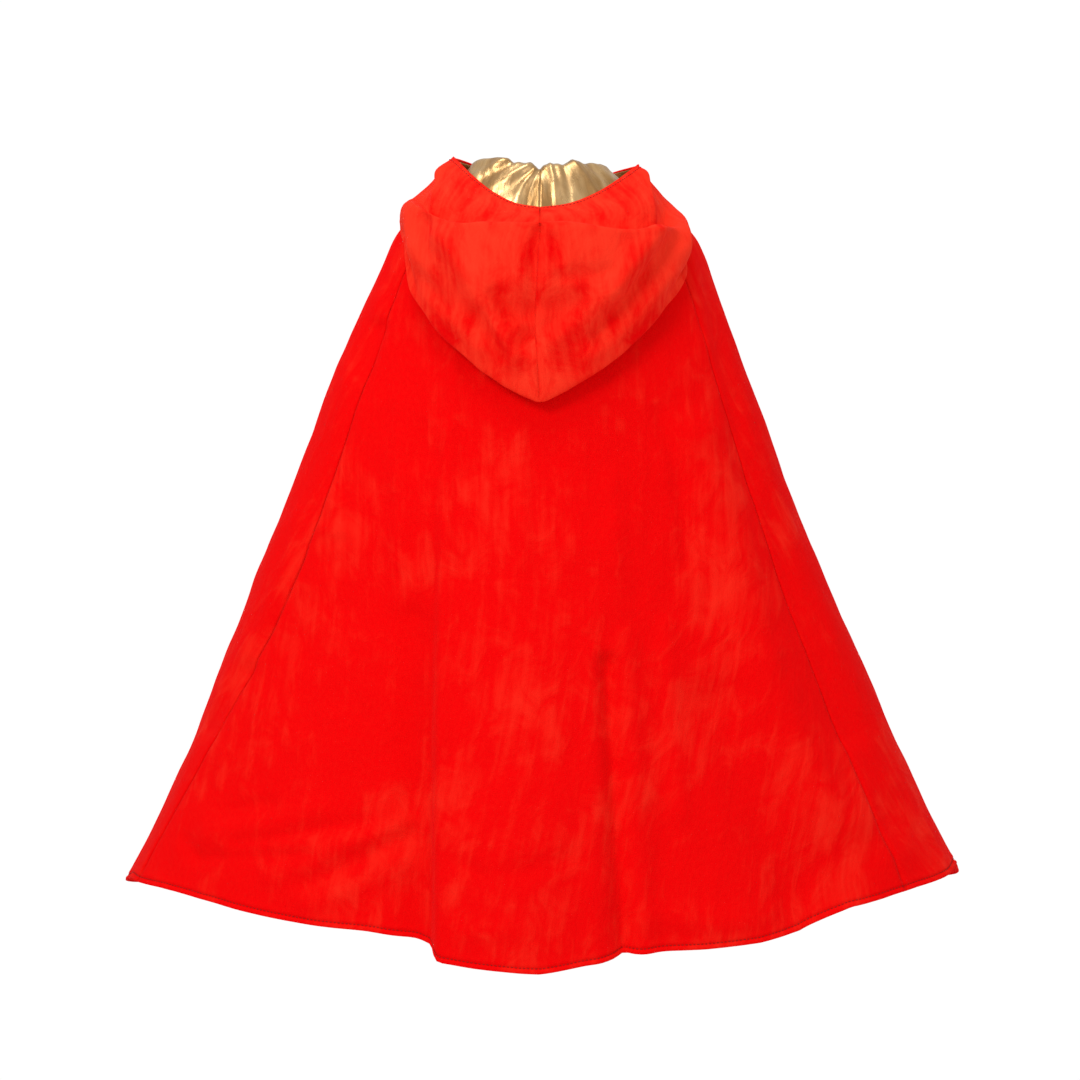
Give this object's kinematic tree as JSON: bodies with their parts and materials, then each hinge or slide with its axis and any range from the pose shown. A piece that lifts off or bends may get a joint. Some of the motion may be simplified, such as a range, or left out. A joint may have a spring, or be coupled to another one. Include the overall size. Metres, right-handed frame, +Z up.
{
  "type": "hooded cape",
  "caption": "Child's hooded dress-up cape: plush shell, metallic lining, flared open front, hood thrown back, hook-and-loop throat tab.",
  "frame": {"origin": "centre of the neck seam, level with the nape", "axes": "+Z up, the wearer faces -Y, +X is the wearer's left"},
  "size_m": [0.7598, 0.4157, 0.7051],
  "materials": {
    "velvet": "plush velvet pile, red, dense nap with soft sheen",
    "lining": "gold metallic woven lining, soft metallic shine with fine creases",
    "thread": "twisted sewing thread, dark red",
    "tape": "woven nylon tape, red, with hooks or loops",
    "neck_binding": "woven twill tape, red",
    "label": "white woven satin label, blank"
  },
  "bodies": {
    "cape": {"back_velvet": "velvet", "left_front_velvet": "velvet", "right_front_velvet": "velvet", "back_lining": "lining", "left_front_lining": "lining", "right_front_lining": "lining", "neck_tape": "neck_binding", "care_label": "label", "hood_edge_left": "velvet", "hood_edge_right": "velvet", "hood_neck_lining_left": "lining", "hood_neck_lining_right": "lining", "loop_tape": "tape", "hood_stitching": "thread", "front_stitching": "thread", "hem_stitching": "thread"},
    "hood": {"hood_left_velvet": "velvet", "hood_right_velvet": "velvet", "hood_left_lining": "lining", "hood_right_lining": "lining"},
    "closure_tab": {"closure_tab": "velvet", "closure_tab_lining": "lining", "hook_tape": "tape", "tab_stitching": "thread"}
  },
  "joints": [
    {"name": "hood_lift", "type": "hinge", "parent": "cape", "child": "hood", "pos_m": [0, 0.038, -0.005], "axis": [1, 0, 0], "range_deg": [0, 70]},
    {"name": "tab_peel", "type": "hinge", "parent": "cape", "child": "closure_tab", "pos_m": [0.0144, -0.0626, -0.042], "axis": [0.007, 0.321, 0.947], "range_deg": [0, 130]}
  ]
}
